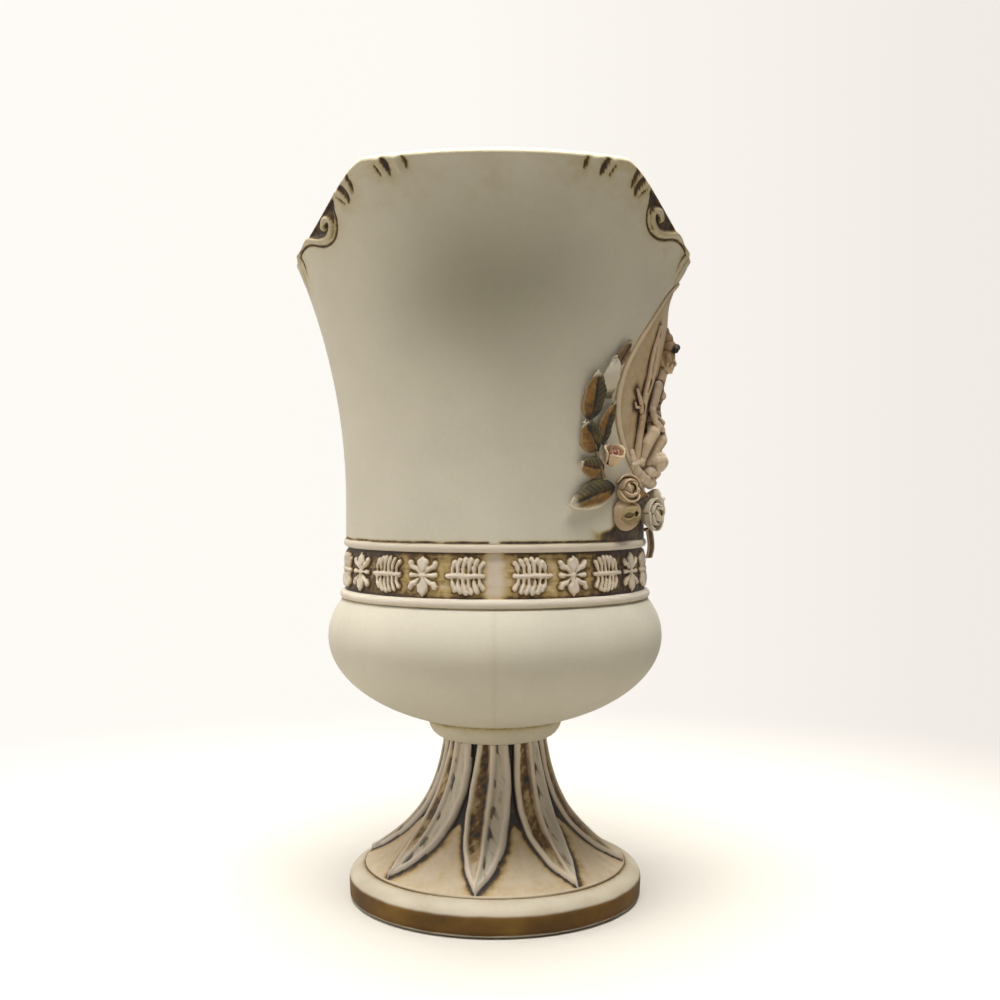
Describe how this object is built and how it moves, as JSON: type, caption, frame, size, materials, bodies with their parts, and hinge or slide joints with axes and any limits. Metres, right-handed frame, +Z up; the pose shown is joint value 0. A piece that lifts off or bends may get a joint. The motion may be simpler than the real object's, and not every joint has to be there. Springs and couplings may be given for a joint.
{
  "type": "footed ewer",
  "caption": "Footed bisque porcelain ewer with two dipped pouring lips, an acanthus foot, and a relief plaque framed by applied leaves and roses.",
  "frame": {"origin": "centre of the foot ring's underside", "axes": "+Z up along the axis of the body, +X towards the round plaque, -Y towards the mould seam on the side that the picture shows"},
  "size_m": [0.1396, 0.1624, 0.2486],
  "materials": {
    "ivory_bisque": "unglazed ivory bisque, faintly stained, brown antique wash in the recesses",
    "antiqued_bisque": "unglazed bisque with a brown antique wash and a worn gilt edge",
    "tan_bisque": "matte tan stain on bisque",
    "relief_bisque": "matte cream bisque relief with brown wash in the hollows",
    "olive_bisque": "matte olive and ochre tinted bisque",
    "rose_bisque": "matte pink and ochre tinted bisque",
    "white_bisque": "matte off-white bisque",
    "stem_bisque": "matte brown tinted bisque"
  },
  "bodies": {
    "root": {"vessel": "ivory_bisque", "pedestal_foot": "antiqued_bisque", "medallion_plaque": "tan_bisque", "seated_figure": "relief_bisque", "tree_trunk": "relief_bisque", "rock_base": "relief_bisque", "near_leaf_top": "olive_bisque", "near_leaf_inner": "olive_bisque", "near_leaf_middle": "olive_bisque", "near_leaf_lower": "olive_bisque", "near_leaf_wide": "olive_bisque", "near_leaf_bottom": "olive_bisque", "near_leaf_small": "olive_bisque", "near_rose_upper": "rose_bisque", "near_rose_round": "rose_bisque", "near_rosebud": "rose_bisque", "near_white_petal": "white_bisque", "near_stem": "stem_bisque", "far_leaf_top": "olive_bisque", "far_leaf_inner": "olive_bisque", "far_leaf_middle": "olive_bisque", "far_leaf_lower": "olive_bisque", "far_leaf_wide": "olive_bisque", "far_leaf_bottom": "olive_bisque", "far_leaf_small": "olive_bisque", "far_rose_upper": "rose_bisque", "far_rose_round": "rose_bisque", "far_rosebud": "rose_bisque", "far_white_petal": "white_bisque", "far_stem": "stem_bisque", "rose_left_of_centre": "white_bisque", "rose_right_of_centre": "white_bisque", "ribbon_end": "stem_bisque"}
  },
  "joints": []
}
